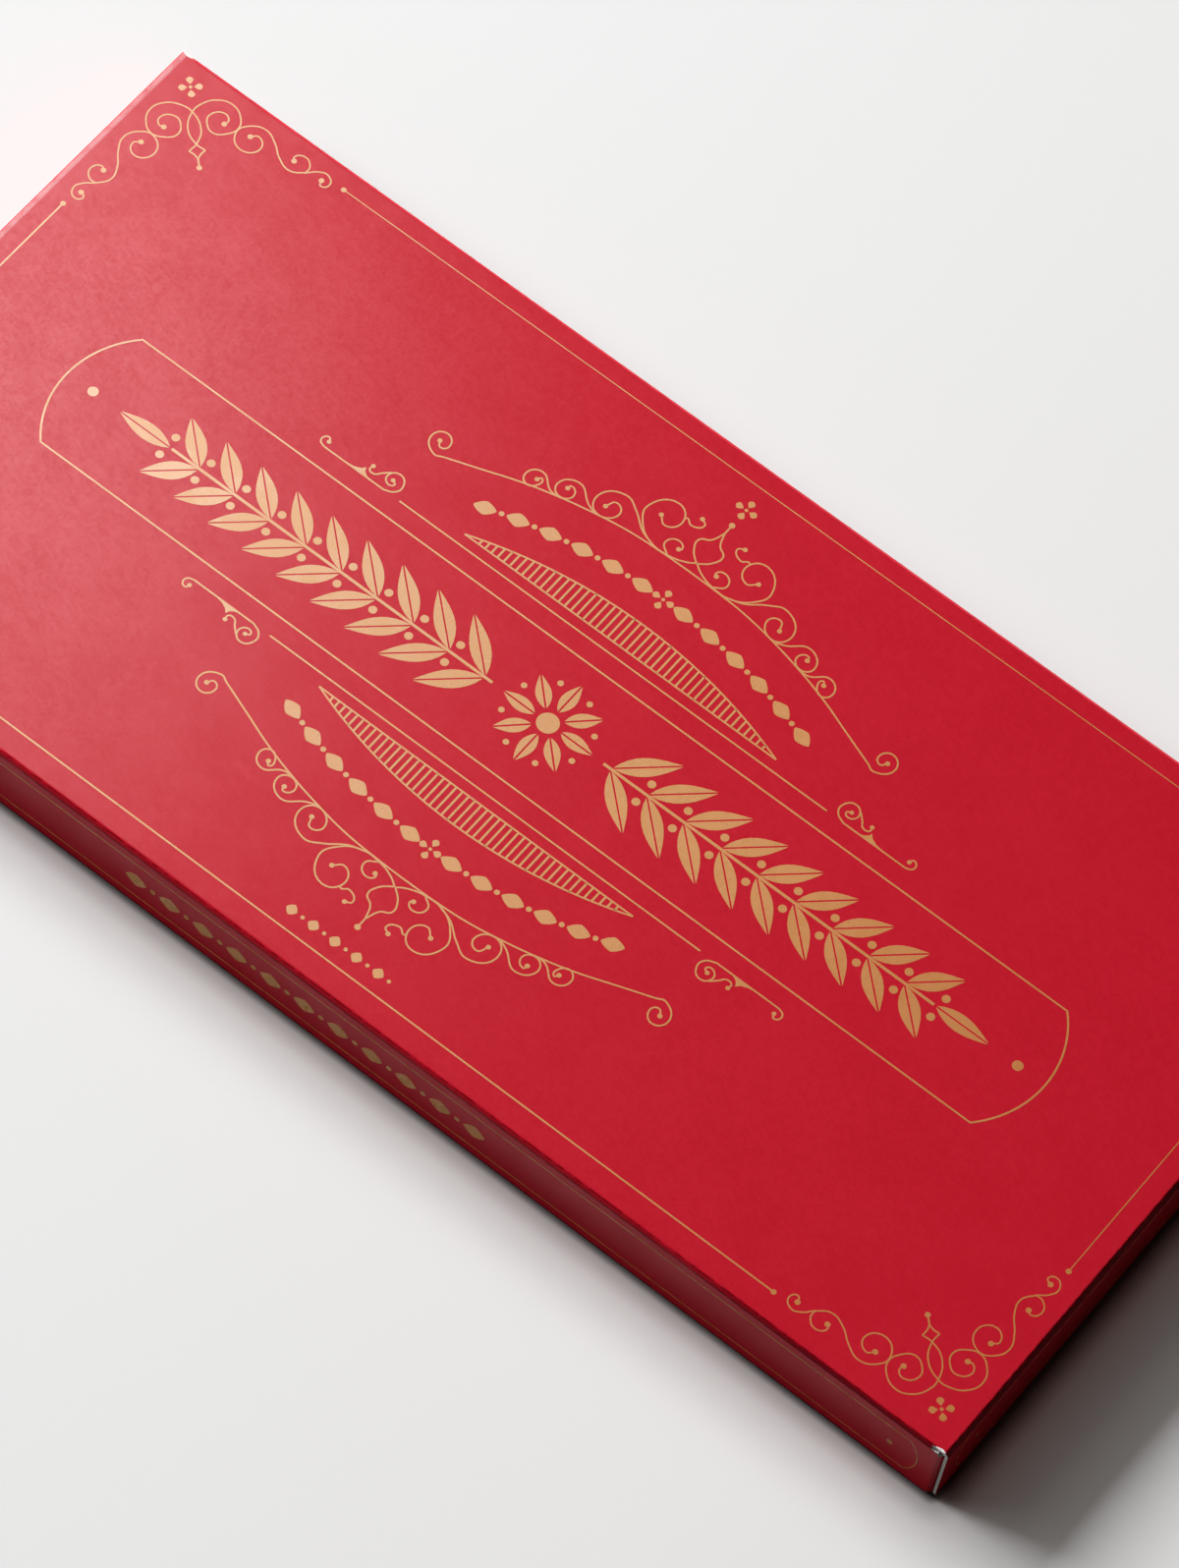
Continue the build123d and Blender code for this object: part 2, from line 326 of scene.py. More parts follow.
def fold_scuffs_and_painted_light():
    """Scuffed corners, and painted light on the folds: painted shade on the folds in front and at the right
    end, a painted highlight on the fold behind and along the left rim.
    """
    tree, given, result = new_group("Fold scuffs and painted light", ("Painted fold shade", "Pale", "Scuff", "Bright"))
    place = given["Place"]
    along = parts_of(tree, place)
    level = maths(tree, "ABSOLUTE", maths(tree, "SUBTRACT", along[2], TOP_Z / 2))
    out_x = maths(tree, "ABSOLUTE", along[0])
    out_y = maths(tree, "ABSOLUTE", along[1])
    in_front = maths(tree, "SUBTRACT", -TURN_Y, along[1])
    past = maths(tree, "MAXIMUM", in_front, maths(tree, "SUBTRACT", out_x, TURN_X))
    wander = maths(tree, "SUBTRACT", noise(tree, place, 0.55, 3.0), 0.5)
    past = maths(tree, "MULTIPLY_ADD", wander, 0.22 * MM, past)
    over = soft_step(tree, past, 0.1 * MM, 0.3 * MM)
    down = soft_step(tree, level, TOP_Z / 2 - FOLD - 0.12 * MM, TOP_Z / 2 - FOLD + 0.1 * MM)
    band = times(tree, over, down)
    streaks = soft_step(tree, noise(tree, place, 0.12, 4.0, 0.6), 0.38, 0.62, 0.12, 0.36)
    # how deep the painted shade on the folds is, deepest towards the ends
    pressed = maths(tree, "MAXIMUM", streaks, soft_step(tree, out_x, 46.0 * MM, 68.0 * MM, 0.3, 0.68))
    past_left = soft_step(tree, along[0], -80.0 * MM, -79.6 * MM)
    # painted shade on the folds in front and at the right end, which face away from the lamps
    feed(result["Painted fold shade"], times(tree, times(tree, band, pressed), past_left))
    # painted highlight along the rim of the left fold, which faces the lamps
    rim = maths(tree, "ABSOLUTE", maths(tree, "ADD", along[0], RIM_X))
    rim = times(tree, soft_step(tree, rim, 0.12 * MM, 0.42 * MM, 1.0, 0.0), down)
    # painted highlight on the fold behind
    behind = soft_step(tree, along[1], TURN_Y - 0.05 * MM, TURN_Y + 0.25 * MM)
    behind = times(tree, behind, soft_step(tree, wander, -0.25, 0.1, 0.6, 1.0))
    feed(result["Bright"], times(tree, behind, down))
    feed(result["Pale"], times(tree, rim, soft_step(tree, wander, -0.2, 0.1, 0.5, 1.0)))
    from_x = times(tree, maths(tree, "SUBTRACT", out_x, SCUFF_X), 1.3 / MM)
    from_y = times(tree, maths(tree, "SUBTRACT", out_y, SCUFF_Y), 3.2 / MM)
    reach = hypotenuse(tree, from_x, from_y)
    reach = maths(tree, "MULTIPLY_ADD", noise(tree, place, 1.6, 2.0), 0.5, reach)
    on_top = maths(tree, "GREATER_THAN", along[2], TOP_Z - 0.3 * MM)
    scuffed = soft_step(tree, reach, 0.95, 1.2, 1.0, 0.0)
    feed(result["Scuff"], times(tree, scuffed, on_top))
    return tree


FOLD_SCUFFS_AND_LIGHT = fold_scuffs_and_painted_light()


def red_print():
    """Deep red ink on fine paper, under a satin varnish that lies unevenly on the fibres."""
    made, tree, shader = new_material(
        "Red print", Specular_IOR_Level=0.0, Roughness=0.6, Coat_Roughness=0.184, Coat_IOR=1.5)
    place = rest_place(tree)
    grain = use_group(tree, FIBRES, {"Place": place, "Fibre length": 1.5})
    crease = crease_groove_and_shade(tree, place)
    scuffs_and_light = use_group(tree, FOLD_SCUFFS_AND_LIGHT, {"Place": place})
    raised = soft_step(tree, grain["Height"], 0.42, 0.78)
    tone = maths(tree, "MULTIPLY_ADD", raised, 0.6, times(tree, grain["Mottle"], 0.4))
    ink = blend_colour(tree, tone, (0.54, 0.0079, 0.022, 1), (0.595, 0.0107, 0.028, 1))
    # painted shade on the folds in front and at the right end
    ink = blend_colour(tree, scuffs_and_light["Painted fold shade"], ink, (0.03, 0.0002, 0.0006, 1))
    # painted shade along the scored lines; the bump below sinks them as a groove
    ink = blend_colour(tree, times(tree, crease, 0.75), ink, (0.12, 0.0004, 0.002, 1))
    # painted highlight on the fold behind
    ink = blend_colour(tree, scuffs_and_light["Bright"], ink, (0.93, 0.055, 0.085, 1))
    # painted highlight along the rim of the left fold
    ink = blend_colour(tree, times(tree, scuffs_and_light["Pale"], 0.4), ink, (0.95, 0.62, 0.64, 1))
    ink = blend_colour(tree, scuffs_and_light["Scuff"], ink, (0.90, 0.86, 0.85, 1))
    feed(shader["Base Color"], ink)
    varnish = maths(tree, "MULTIPLY_ADD", raised, 0.13, 0.27)
    varnish = times(tree, varnish, soft_step(tree, grain["Mottle"], 0.0, 1.0, 0.92, 1.08))
    # the varnish is thinner where the folds are painted in shade, so they lose their sheen too
    varnish = times(tree, varnish, soft_step(tree, scuffs_and_light["Painted fold shade"], 0.0, 0.4, 1.0, 0.2))
    feed(shader["Coat Weight"], varnish)
    height = maths(tree, "MULTIPLY_ADD", crease, -1.6, grain["Height"])
    emboss(tree, shader, height, 0.024)
    return made


def gold_print(name, gloss):
    """Warm gold ink with a silky gloss over the paper's grain, painted darker towards the right end as
    shade, where it reflects less light.
    """
    made, tree, shader = new_material(
        name, Specular_IOR_Level=0.6 * gloss, Coat_Weight=gloss, Coat_Roughness=0.25, Coat_IOR=1.5)
    place = object_place(tree)
    grain = use_group(tree, FIBRES, {"Place": place, "Fibre length": 1.5})
    ink = blend_colour(tree, grain["Mottle"], (0.62, 0.250, 0.040, 1), (0.66, 0.275, 0.050, 1))
    across = parts_of(tree, place)[0]
    # painted shade: the gold darkens towards the right end, away from the lamps
    ink = blend_colour(tree, soft_step(tree, across, 0.0, 75.0 * MM), ink, (0.56, 0.185, 0.030, 1))
    feed(shader["Base Color"], ink)
    feed(shader["Metallic"], soft_step(tree, grain["Fleck"], 0.0, 1.0, 0.0, 0.12))
    feed(shader["Roughness"], soft_step(tree, grain["Mottle"], 0.0, 1.0, 0.24, 0.32))
    emboss(tree, shader, grain["Height"], 0.007)
    return made


def bare_board(name, dull, bright, on_board=True):
    """Uncoated board, for its inside and with duller plies for its cut edge."""
    made, tree, shader = new_material(name, Specular_IOR_Level=0.3)
    place = rest_place(tree) if on_board else object_place(tree)
    grain = use_group(tree, FIBRES, {"Place": place, "Fibre length": 1.1})
    pulp = blend_colour(tree, grain["Mottle"], dull, bright)
    pulp = blend_colour(tree, times(tree, grain["Fleck"], 0.35), pulp, (0.45, 0.40, 0.33, 1))
    feed(shader["Base Color"], pulp)
    feed(shader["Roughness"], soft_step(tree, grain["Mottle"], 0.0, 1.0, 0.78, 0.9))
    emboss(tree, shader, grain["Height"], 0.016)
    return made


def crinkled_foil():
    """Soft bright foil, dulled by fine creases in every direction."""
    made, tree, shader = new_material("Crinkled foil", Specular_IOR_Level=0.5)
    place = object_place(tree)
    spread = {"Vector": place, "Scale": 0.55 / MM}
    edge = node(tree, "TexVoronoi", spread, feature="DISTANCE_TO_EDGE").outputs["Distance"]
    creases = soft_step(tree, edge, 0.0, 0.07, 1.0, 0.0)
    soft = noise(tree, place, 0.35, 4.0, 0.6, 0.6)
    fine = noise(tree, place, 2.4, 2.0)
    tone = blend_colour(tree, soft, (0.80, 0.80, 0.81, 1), (0.90, 0.90, 0.91, 1))
    feed(shader["Base Color"], tone)
    shader["Metallic"].default_value = 1.0
    feed(shader["Roughness"], soft_step(tree, fine, 0.3, 0.7, 0.24, 0.36))
    height = maths(tree, "MULTIPLY_ADD", soft, 3.0, times(tree, creases, 0.5))
    height = maths(tree, "MULTIPLY_ADD", fine, 0.35, height)
    emboss(tree, shader, height, 0.09)
    return made


def milk_chocolate():
    made, tree, shader = new_material("Milk chocolate", Specular_IOR_Level=0.5)
    place = object_place(tree)
    cloud = noise(tree, place, 0.12, 4.0, 0.6)
    brown = blend_colour(tree, cloud, (0.105, 0.036, 0.013, 1), (0.15, 0.056, 0.022, 1))
    feed(shader["Base Color"], brown)
    feed(shader["Roughness"], soft_step(tree, cloud, 0.3, 0.7, 0.28, 0.42))
    emboss(tree, shader, noise(tree, place, 1.1, 3.0), 0.03, 0.6)
    return made


def dried_glue():
    made, tree, shader = new_material("Dried glue", Specular_IOR_Level=0.5, Coat_Weight=0.3)
    place = object_place(tree)
    cloud = noise(tree, place, 0.6, 3.0)
    tone = blend_colour(tree, cloud, (0.66, 0.55, 0.36, 1), (0.80, 0.71, 0.52, 1))
    feed(shader["Base Color"], tone)
    feed(shader["Roughness"], soft_step(tree, cloud, 0.3, 0.7, 0.3, 0.5))
    emboss(tree, shader, cloud, 0.06)
    return made


RED = red_print()
GOLD = gold_print("Gold print", 1.0)
WALL_GOLD = gold_print("Gold print on the walls", 0.3)
WHITE_TONES = (0.80, 0.78, 0.74, 1), (0.86, 0.84, 0.81, 1)
INSIDE = bare_board("White board inside", *WHITE_TONES)
CUT_EDGE = bare_board("Cut edge of the board", (0.74, 0.72, 0.68, 1), (0.83, 0.81, 0.78, 1))
GLUE_FLAP_BOARD = bare_board("Bare glue flap", *WHITE_TONES, on_board=False)
FOIL = crinkled_foil()
CHOCOLATE = milk_chocolate()
GLUE = dried_glue()


# The board

def face_out(obj, outward):
    """Turns an open sheet so that its largest face looks outward."""
    edit(obj)
    bpy.ops.mesh.remove_doubles(threshold=0.001 * MM)
    bpy.ops.mesh.normals_make_consistent(inside=False)
    done()
    largest = max(obj.data.polygons, key=lambda face: face.area)
    if largest.normal.dot(outward) < 0:
        edit(obj)
        bpy.ops.mesh.flip_normals()
        done()


def keep_place(obj):
    """Notes for the materials where each vertex lies on the closed box."""
    if "place" not in obj.data.attributes:
        obj.data.attributes.new("place", "FLOAT_VECTOR", "POINT")
    rest = obj.data.attributes["place"]
    rest.data.foreach_set("vector", [value for v in obj.data.vertices for value in v.co])


def make_board(obj, outward):
    """Gives an open sheet of the outer surface its thickness, inside and cut edges."""
    face_out(obj, outward)
    # the outside is printed (0) or bare (1), the inside comes one slot later and the cut edge last
    for material in (RED, INSIDE, INSIDE, CUT_EDGE):
        obj.data.materials.append(material)
    apply_modifier(obj, "SOLIDIFY", thickness=SHEET, offset=-1, use_even_offset=True,
                   material_offset=1, material_offset_rim=3)
    bpy.ops.object.shade_smooth_by_angle(angle=radians(28))
    keep_place(obj)
    return obj


def bare_beyond(obj, test):
    """Leaves the outside of a flap unprinted where the test holds; run before it is made board."""
    for face in obj.data.polygons:
        if test(face.center):
            face.material_index = 1


def mirrored_copy(obj, name, scale):
    make_active(obj)
    bpy.ops.object.duplicate()
    copy = named(name)
    copy.scale = scale
    apply_place(copy)
    edit(copy)
    bpy.ops.mesh.normals_make_consistent(inside=False)
    done()
    if "place" in copy.data.attributes:
        keep_place(copy)
    return copy


def other_end(obj, name):
    """A copy of a piece, mirrored to the other end of the box."""
    return mirrored_copy(obj, name, (-1, 1, 1))


def quarter_turn(centre, axis):
    """Folds on from the selected edges round a crease, right-handed about the axis."""
    bpy.ops.mesh.spin(steps=FOLD_STEPS, angle=-pi / 2, center=centre, axis=axis)


def top_board():
    """The top panel; beyond the slits it runs out to the ears of the end folds."""
    obj = rectangle("top_board", (0, 0, TOP_Z - PRINT), (2 * TURN_X, 2 * EAR_Y))
    edit(obj)
    for sign in (-1, 1):
        cut((sign * SLIT_X, 0, 0), X)
        cut((0, sign * TURN_Y, 0), Y)
    pick(obj, "faces", lambda p: abs(p.x) < SLIT_X and abs(p.y) > TURN_Y)
    bpy.ops.mesh.delete(type="FACE")
    done()
    return make_board(obj, Z)


def side_board(name, foot_z, folded_foot):
    """The front wall with its head fold, and with a fold at the foot or a cut edge."""
    height = CREASE_Z - foot_z
    obj = rectangle(name, (0, PRINT - SIDE_Y, foot_z + height / 2), (2 * WALL_X, height), (pi / 2, 0, 0))
    edit(obj)
    for sign in (-1, 1):
        cut((sign * SLIT_X, 0, 0), X)
    pick(obj, "edges", lambda p: near(p.z, CREASE_Z) and abs(p.x) < SLIT_X)
    quarter_turn((0, -TURN_Y, CREASE_Z), -X)
    if folded_foot:
        pick(obj, "edges", lambda p: near(p.z, foot_z) and near(p.y, PRINT - SIDE_Y))
        quarter_turn((0, -TURN_Y, FOLD), X)
    done()
    return obj


def bottom_board():
    """The bottom panel, with the fold up to the glue flap at the back."""
    depth = TURN_Y + SEAM_TURN_Y
    centre = (0, (SEAM_TURN_Y - TURN_Y) / 2, PRINT)
    obj = rectangle("bottom_board", centre, (2 * WALL_X, depth))
    edit(obj)
    for sign in (-1, 1):
        cut((sign * SEAM_HALF, 0, 0), X)
    pick(obj, "edges", lambda p: near(p.y, SEAM_TURN_Y) and abs(p.x) < SEAM_HALF)
    quarter_turn((0, SEAM_TURN_Y, FOLD), X)
    done()
    return make_board(obj, -Z)


def round_corners(obj, radius, test):
    pick(obj, "verts", test)
    bpy.ops.mesh.bevel(affect="VERTICES", offset=radius, segments=6)


def closure_board():
    """The right closure with the fold that carries it."""
    height = CREASE_Z - CLOSURE_FOOT
    centre = (END_X - PRINT, 0, CLOSURE_FOOT + height / 2)
    obj = rectangle("right_closure_board", centre, (height, 2 * EAR_Y), (0, pi / 2, 0))
    edit(obj)
    round_corners(obj, CLOSURE_CORNER, lambda p: near(p.z, CLOSURE_FOOT))
    pick(obj, "edges", lambda p: near(p.z, CREASE_Z))
    quarter_turn((TURN_X, 0, CREASE_Z), -Y)
    done()
    return make_board(obj, X)


def dust_flap_board():
    """The right front dust flap with its fold; its printed side shows red only near the crease."""
    height = DUST_HEAD_Z - DUST_FOOT_Z
    centre = (FLAP_X - PRINT, -TURN_Y + DUST_LENGTH / 2, DUST_FOOT_Z + height / 2)
    obj = rectangle("right_front_dust_board", centre, (height, DUST_LENGTH), (0, pi / 2, 0))
    edit(obj)
    cut((FLAP_X, -TURN_Y, DUST_HEAD_Z), (0, sin(DUST_SLOPE), cos(DUST_SLOPE)), clear=True)
    round_corners(obj, DUST_CORNER, lambda p: near(p.y, DUST_LENGTH - TURN_Y))
    pick(obj, "edges", lambda p: near(p.y, -TURN_Y))
    quarter_turn((WALL_X, -TURN_Y, 0), -Z)
    cut((0, BLEED - TURN_Y, 0), Y)
    done()
    bare_beyond(obj, lambda p: p.y > BLEED - TURN_Y)
    return make_board(obj, X)


def inner_flap_board():
    """The low flap that stands up from the bottom at the right end, with its fold."""
    height = INNER_HEAD_Z - FOLD
    centre = (FLAP_X - PRINT, 0, FOLD + height / 2)
    obj = rectangle("right_inner_board", centre, (height, 2 * INNER_HALF), (0, pi / 2, 0))
    edit(obj)
    for sign in (-1, 1):
        slant = (0, sign * height, INNER_DRAFT)
        cut((FLAP_X, sign * INNER_HALF, FOLD), slant, clear=True)
    round_corners(obj, INNER_CORNER, lambda p: near(p.z, INNER_HEAD_Z))
    pick(obj, "edges", lambda p: near(p.z, FOLD))
    quarter_turn((WALL_X, 0, FOLD), Y)
    cut((0, 0, FOLD + BLEED), Z)
    done()
    bare_beyond(obj, lambda p: p.z > FOLD + BLEED)
    return make_board(obj, X)


def hinge_on(obj, node_name):
    """Lets a flap take over from its solid: hides the solid and bakes the flap's placement into its mesh."""
    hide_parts(node_name)
    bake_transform(obj)


def build_board():
    top = top_board()
    front = make_board(side_board("front_board", FOLD, True), -Y)
    back = make_board(side_board("back_blank", CLOSURE_FOOT, False), -Y)
    back_wall = mirrored_copy(back, "back_board", (1, -1, 1))
    bpy.data.objects.remove(back)
    bottom = bottom_board()
    for obj, node_name in ((top, "top_panel"), (front, "front_panel"),
                           (back_wall, "back_panel"), (bottom, "bottom_panel")):
        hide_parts(node_name)
        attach(obj, "carton")
    at_right = {"closure": closure_board(), "inner": inner_flap_board(), "front_dust": dust_flap_board()}
    at_right["back_dust"] = mirrored_copy(at_right["front_dust"], "right_back_dust_board", (1, -1, 1))
    at_left = {part: other_end(obj, "left_" + part + "_board") for part, obj in at_right.items()}
    for name, sign, pieces in (("right", 1, at_right), ("left", -1, at_left)):
        hinge, root, middle = sign * END_X, sign * FLAP_X, TOP_Z / 2
        for part, solid, start, end in (
                ("closure", "closure_panel", (hinge, 0, CREASE_Z + LEAD), (hinge, 0, CREASE_Z)),
                ("inner", "inner_flap", (root, 0, FOLD - LEAD), (root, 0, FOLD)),
                ("front_dust", "front_dust_flap", (root, -TURN_Y - LEAD, middle), (root, -TURN_Y, middle)),
                ("back_dust", "back_dust_flap", (root, TURN_Y + LEAD, middle), (root, TURN_Y, middle))):
            hinge_on(pieces[part], name + "_" + solid)


build_board()


# The gold print, drawn in millimetres from the middle of a panel

FINE = 0.19                 # width of the fine lines
BOLD = 0.22                 # the outline of the large plate
FAINT = 0.115               # the back and right rules, and the plates on the walls
SCROLL = 0.17               # the lines of the corner flourishes
END_DOT = 0.62              # dots that end the fine lines
GOLD_DEPTH = 0.03           # thickness of the gold, partly sunk in the board
STEP = 0.0008               # each stroke lies this much lower than the one it crosses


class Artwork:
    """Lines and filled shapes of one panel."""

    def __init__(self):
        self.curves = []
        self.rules = []
        self.shapes = []

    def curve(self, points, width=FINE):
        self.curves.append((points, width))

    def rule(self, points, width=FINE, closed=False):
        self.rules.append((points, width, closed))

    def shape(self, points):
        self.shapes.append(points)

    def dot(self, x, y, size=END_DOT):
        self.shapes.append(ring(x, y, size / 2, 16 if size < 1 else 32))

    def take(self, other, change):
        """Adds another artwork with each of its points changed."""
        for points, width in other.curves:
            self.curve([change(x, y) for x, y in points], width)
        for points, width, closed in other.rules:
            self.rule([change(x, y) for x, y in points], width, closed)
        for points in other.shapes:
            self.shape([change(x, y) for x, y in points])

    def take_both(self, half):
        """Adds another artwork and its mirror image to the other side."""
        self.take(half, straight)
        self.take(half, lambda x, y: (-x, y))


def ring(x, y, radius, steps):
    turns = [2 * pi * i / steps for i in range(steps)]
    return [(x + radius * cos(t), y + radius * sin(t)) for t in turns]


def arc(start, top, end, steps=24):
    """Points of the circle through three points, where the top one is halfway."""
    start, top, end = Vector(start), Vector(top), Vector(end)
    middle = (start + end) / 2
    up = (top - middle).normalized()
    along = (end - start).normalized()
    half = (end - start).length / 2
    radius = bow_radius(half, (top - middle).length)
    centre = top - up * radius
    reach = asin(half / radius)
    turns = [reach * (2 * i / steps - 1) for i in range(steps + 1)]
    return [tuple(centre + along * radius * sin(t) + up * radius * cos(t)) for t in turns]


def lozenge(x, y, half_x, half_y, hollow=1.5, steps=6):
    """A diamond whose sides bow in."""
    points = []
    for i in range(4 * steps):
        t = pi / 2 * i / steps
        across = abs(cos(t)) ** hollow * (1 if cos(t) > 0 else -1)
        rise = abs(sin(t)) ** hollow * (1 if sin(t) > 0 else -1)
        points.append((x + half_x * across, y + half_y * rise))
    return points


def placed(points, x, y, degrees):
    c, s = cos(radians(degrees)), sin(radians(degrees))
    return [(x + px * c - py * s, y + px * s + py * c) for px, py in points]


def leaf(length, width, midrib=0.18, steps=9):
    """A pointed leaf from its root at the origin along x, in two halves beside the midrib."""
    edge = []
    for i in range(steps + 1):
        t = i / steps
        edge.append((length * t, midrib / 2 + (width - midrib) / 2 * sin(pi * t ** 0.85)))
    lower = [(x, -y) for x, y in edge]
    return [edge, lower]


def quatrefoil(art, x, y, size, turned=0):
    """Four small petals round a dot."""
    petal = [(size * (0.27 + 0.73 * i / 8), size * 0.3 * sin(pi * (i / 8) ** 1.4) ** 0.8) for i in range(9)]
    outline = petal + [(px, -py) for px, py in reversed(petal[1:-1])]
    for turn in (0, 90, 180, 270):
        art.shape(placed(outline, x, y, turn + turned))
    art.dot(x, y, size * 0.3)


def straight(x, y):
    return (x, y)


# One arm of the corner flourish at the back left; the other arm is its mirror over the corner's diagonal
CORNER_FOLD = -40.8
CROSSING_SCROLL = [
    (-70.89, 31.33), (-72.11, 31.31), (-73.95, 32.15), (-75.05, 34.3), (-75.0, 35.5), (-74.0, 37.2),
    (-72.3, 37.84), (-70.6, 37.0), (-70.0, 35.8), (-70.5, 34.5), (-71.7, 33.6), (-72.9, 34.1),
    (-73.4, 35.2), (-72.3, 36.4), (-71.4, 35.9), (-71.5, 35.3)]
RUNNING_SCROLL = [
    (-68.4, 35.9), (-67.7, 36.5), (-66.6, 35.3), (-68.2, 33.9), (-69.9, 35.4), (-69.2, 37.0),
    (-67.6, 37.7), (-65.9, 37.0), (-64.3, 35.8), (-62.6, 35.3), (-61.1, 36.25), (-60.2, 37.2),
    (-59.1, 37.6), (-58.2, 36.7), (-58.85, 36.0), (-59.2, 36.6)]
SIDE_TENDRIL = [(-61.1, 36.1), (-61.2, 37.1), (-62.3, 37.8), (-63.25, 37.05), (-62.95, 36.6)]
DIAMOND_SIDE = [(-70.89, 31.33), (-70.93, 30.66), (-70.78, 29.98)]


def corner_flourish():
    art = Artwork()
    arm = Artwork()
    for scroll in (CROSSING_SCROLL, RUNNING_SCROLL, SIDE_TENDRIL):
        arm.curve(scroll, SCROLL)
        arm.dot(*scroll[-1])
    arm.dot(*RUNNING_SCROLL[0])
    arm.curve(DIAMOND_SIDE, SCROLL)
    art.take(arm, straight)
    art.take(arm, lambda x, y: (-y + CORNER_FOLD, -x + CORNER_FOLD))
    art.rule([DIAMOND_SIDE[-1], (-69.97, 29.18)])
    art.dot(-69.97, 29.18)
    quatrefoil(art, -77.2, 36.6, 1.35, 45)
    return art


def top_frame(art):
    """The four rules along the edges and the flourishes at the corners."""
    middle_x, middle_y = 0.18, 0.34
    half_x, half_y = 56.87, 15.69
    for y, width in ((37.27, FAINT), (-36.59, FINE)):
        art.rule([(middle_x - half_x, y), (middle_x + half_x, y)], width)
        for sign in (-1, 1):
            art.dot(middle_x + sign * half_x, y)
    for x, width in ((78.29, FAINT), (-77.93, FINE)):
        art.rule([(x, middle_y - half_y), (x, middle_y + half_y)], width)
        for sign in (-1, 1):
            art.dot(x, middle_y + sign * half_y)
    corner = corner_flourish()
    art.take(corner, straight)
    art.take(corner, lambda x, y: (2 * middle_x - x, 2 * middle_y - y))
    art.take(corner, lambda x, y: (2 * middle_x - x, y))
    art.take(corner, lambda x, y: (x, 2 * middle_y - y))


def plaque(art, half_x, half_y, tip_x, width, dot_x, dot_size):
    """A long plate with bowed ends and a dot inside each."""
    right = arc((half_x, half_y), (tip_x, 0), (half_x, -half_y))
    left = [(-x, -y) for x, y in right]
    art.rule(right + left, width, closed=True)
    art.dot(dot_x, 0, dot_size)
    art.dot(-dot_x, 0, dot_size)


def laurel(art):
    """A laurel garland that runs both ways from a rosette, with berries between its leaves."""
    for turn in range(0, 360, 45):
        for half in leaf(4.0, 1.75, 0.2):
            art.shape(placed([(x + 1.75, y) for x, y in half], 0, 0, turn))
    art.dot(0, 0, 2.5)
    for turn in range(8):
        t = radians(22.5 + 45 * turn)
        art.dot(5.0 * cos(t), 5.0 * sin(t), 0.7)
    side = Artwork()
    side.rule([(7.3, 0), (50.0, 0)], 0.34)
    for pair in range(9):
        x = 8.4 + 4.75 * pair
        for turn in (43, -43):
            for half in leaf(7.3 - 0.16 * pair, 2.25):
                side.shape(placed(half, x, 0.22 if turn > 0 else -0.22, turn))
            side.dot(x + 4.15, 1.35 if turn > 0 else -1.35, 0.95)
    for half in leaf(6.6, 2.1):
        side.shape(placed(half, 50.3, 0, 0))
    art.take_both(side)


HALF_SCROLLS = [
    [(-28.0, 18.1), (-24.0, 19.6), (-20.0, 21.1), (-16.0, 22.27), (-12.0, 23.17), (-8.0, 23.83),
     (-4.0, 24.1), (0.0, 24.17)],
    [(-28.0, 18.1), (-29.0, 17.73), (-30.6, 19.4), (-29.4, 20.67), (-28.33, 19.5), (-29.0, 18.83),
     (-29.55, 19.45)],
    [(-16.0, 22.3), (-17.0, 22.33), (-19.07, 23.6), (-20.27, 22.5), (-19.67, 21.33), (-18.6, 21.75),
     (-18.55, 22.9), (-18.93, 22.5)],
    [(-12.0, 23.27), (-13.0, 23.67), (-15.33, 25.1), (-17.0, 23.5), (-16.0, 22.4), (-14.77, 23.33),
     (-15.67, 24.23), (-15.83, 23.77)],
    [(-4.67, 24.17), (-6.67, 24.83), (-8.67, 26.33), (-10.67, 27.17), (-12.9, 25.17), (-11.67, 23.33),
     (-9.77, 24.83), (-10.83, 25.77), (-11.5, 24.67)],
    [(0.0, 25.5), (-1.0, 24.83), (-3.0, 24.23), (-5.33, 24.33), (-7.33, 25.67), (-8.17, 27.67),
     (-5.83, 30.07), (-4.17, 28.5), (-5.33, 26.93), (-6.43, 27.73)],
    [(-4.17, 28.5), (-4.17, 29.17), (-3.27, 28.77), (-2.17, 29.67), (-2.83, 30.17)],
    [(-3.0, 24.23), (-4.1, 25.33), (-3.17, 26.43), (-2.23, 25.83), (-2.5, 25.57)],
    [(0.0, 25.4), (-1.25, 26.6), (-1.6, 27.95), (-0.6, 28.75), (0.0, 30.3)],
]


def crown():
    """The arched rule with its scrolls above the plaque; the same is mirrored below it."""
    art = Artwork()
    half = Artwork()
    for scroll in HALF_SCROLLS:
        half.curve(scroll)
    for scroll in HALF_SCROLLS[1:8]:
        half.dot(*scroll[-1], 0.55)
    art.take_both(half)
    art.rule([(0, 30.3), (0, 31.4)])
    art.dot(0, 31.6, 0.7)
    return art


def bow_radius(half_chord, rise):
    return (half_chord ** 2 + rise ** 2) / (2 * rise)


def hatched_lens(art):
    """A shallow bow filled with upright lines."""
    half, foot, head = 20.5, 12.17, 15.83
    art.rule(arc((-half, foot), (0, head), (half, foot), 40))
    art.rule([(-half, foot), (half, foot)])
    radius = bow_radius(half, head - foot)
    for i in range(-23, 24):
        x = 0.81 * i
        art.rule([(x, 12.2), (x, head - radius + sqrt(radius ** 2 - x ** 2))], 0.23)


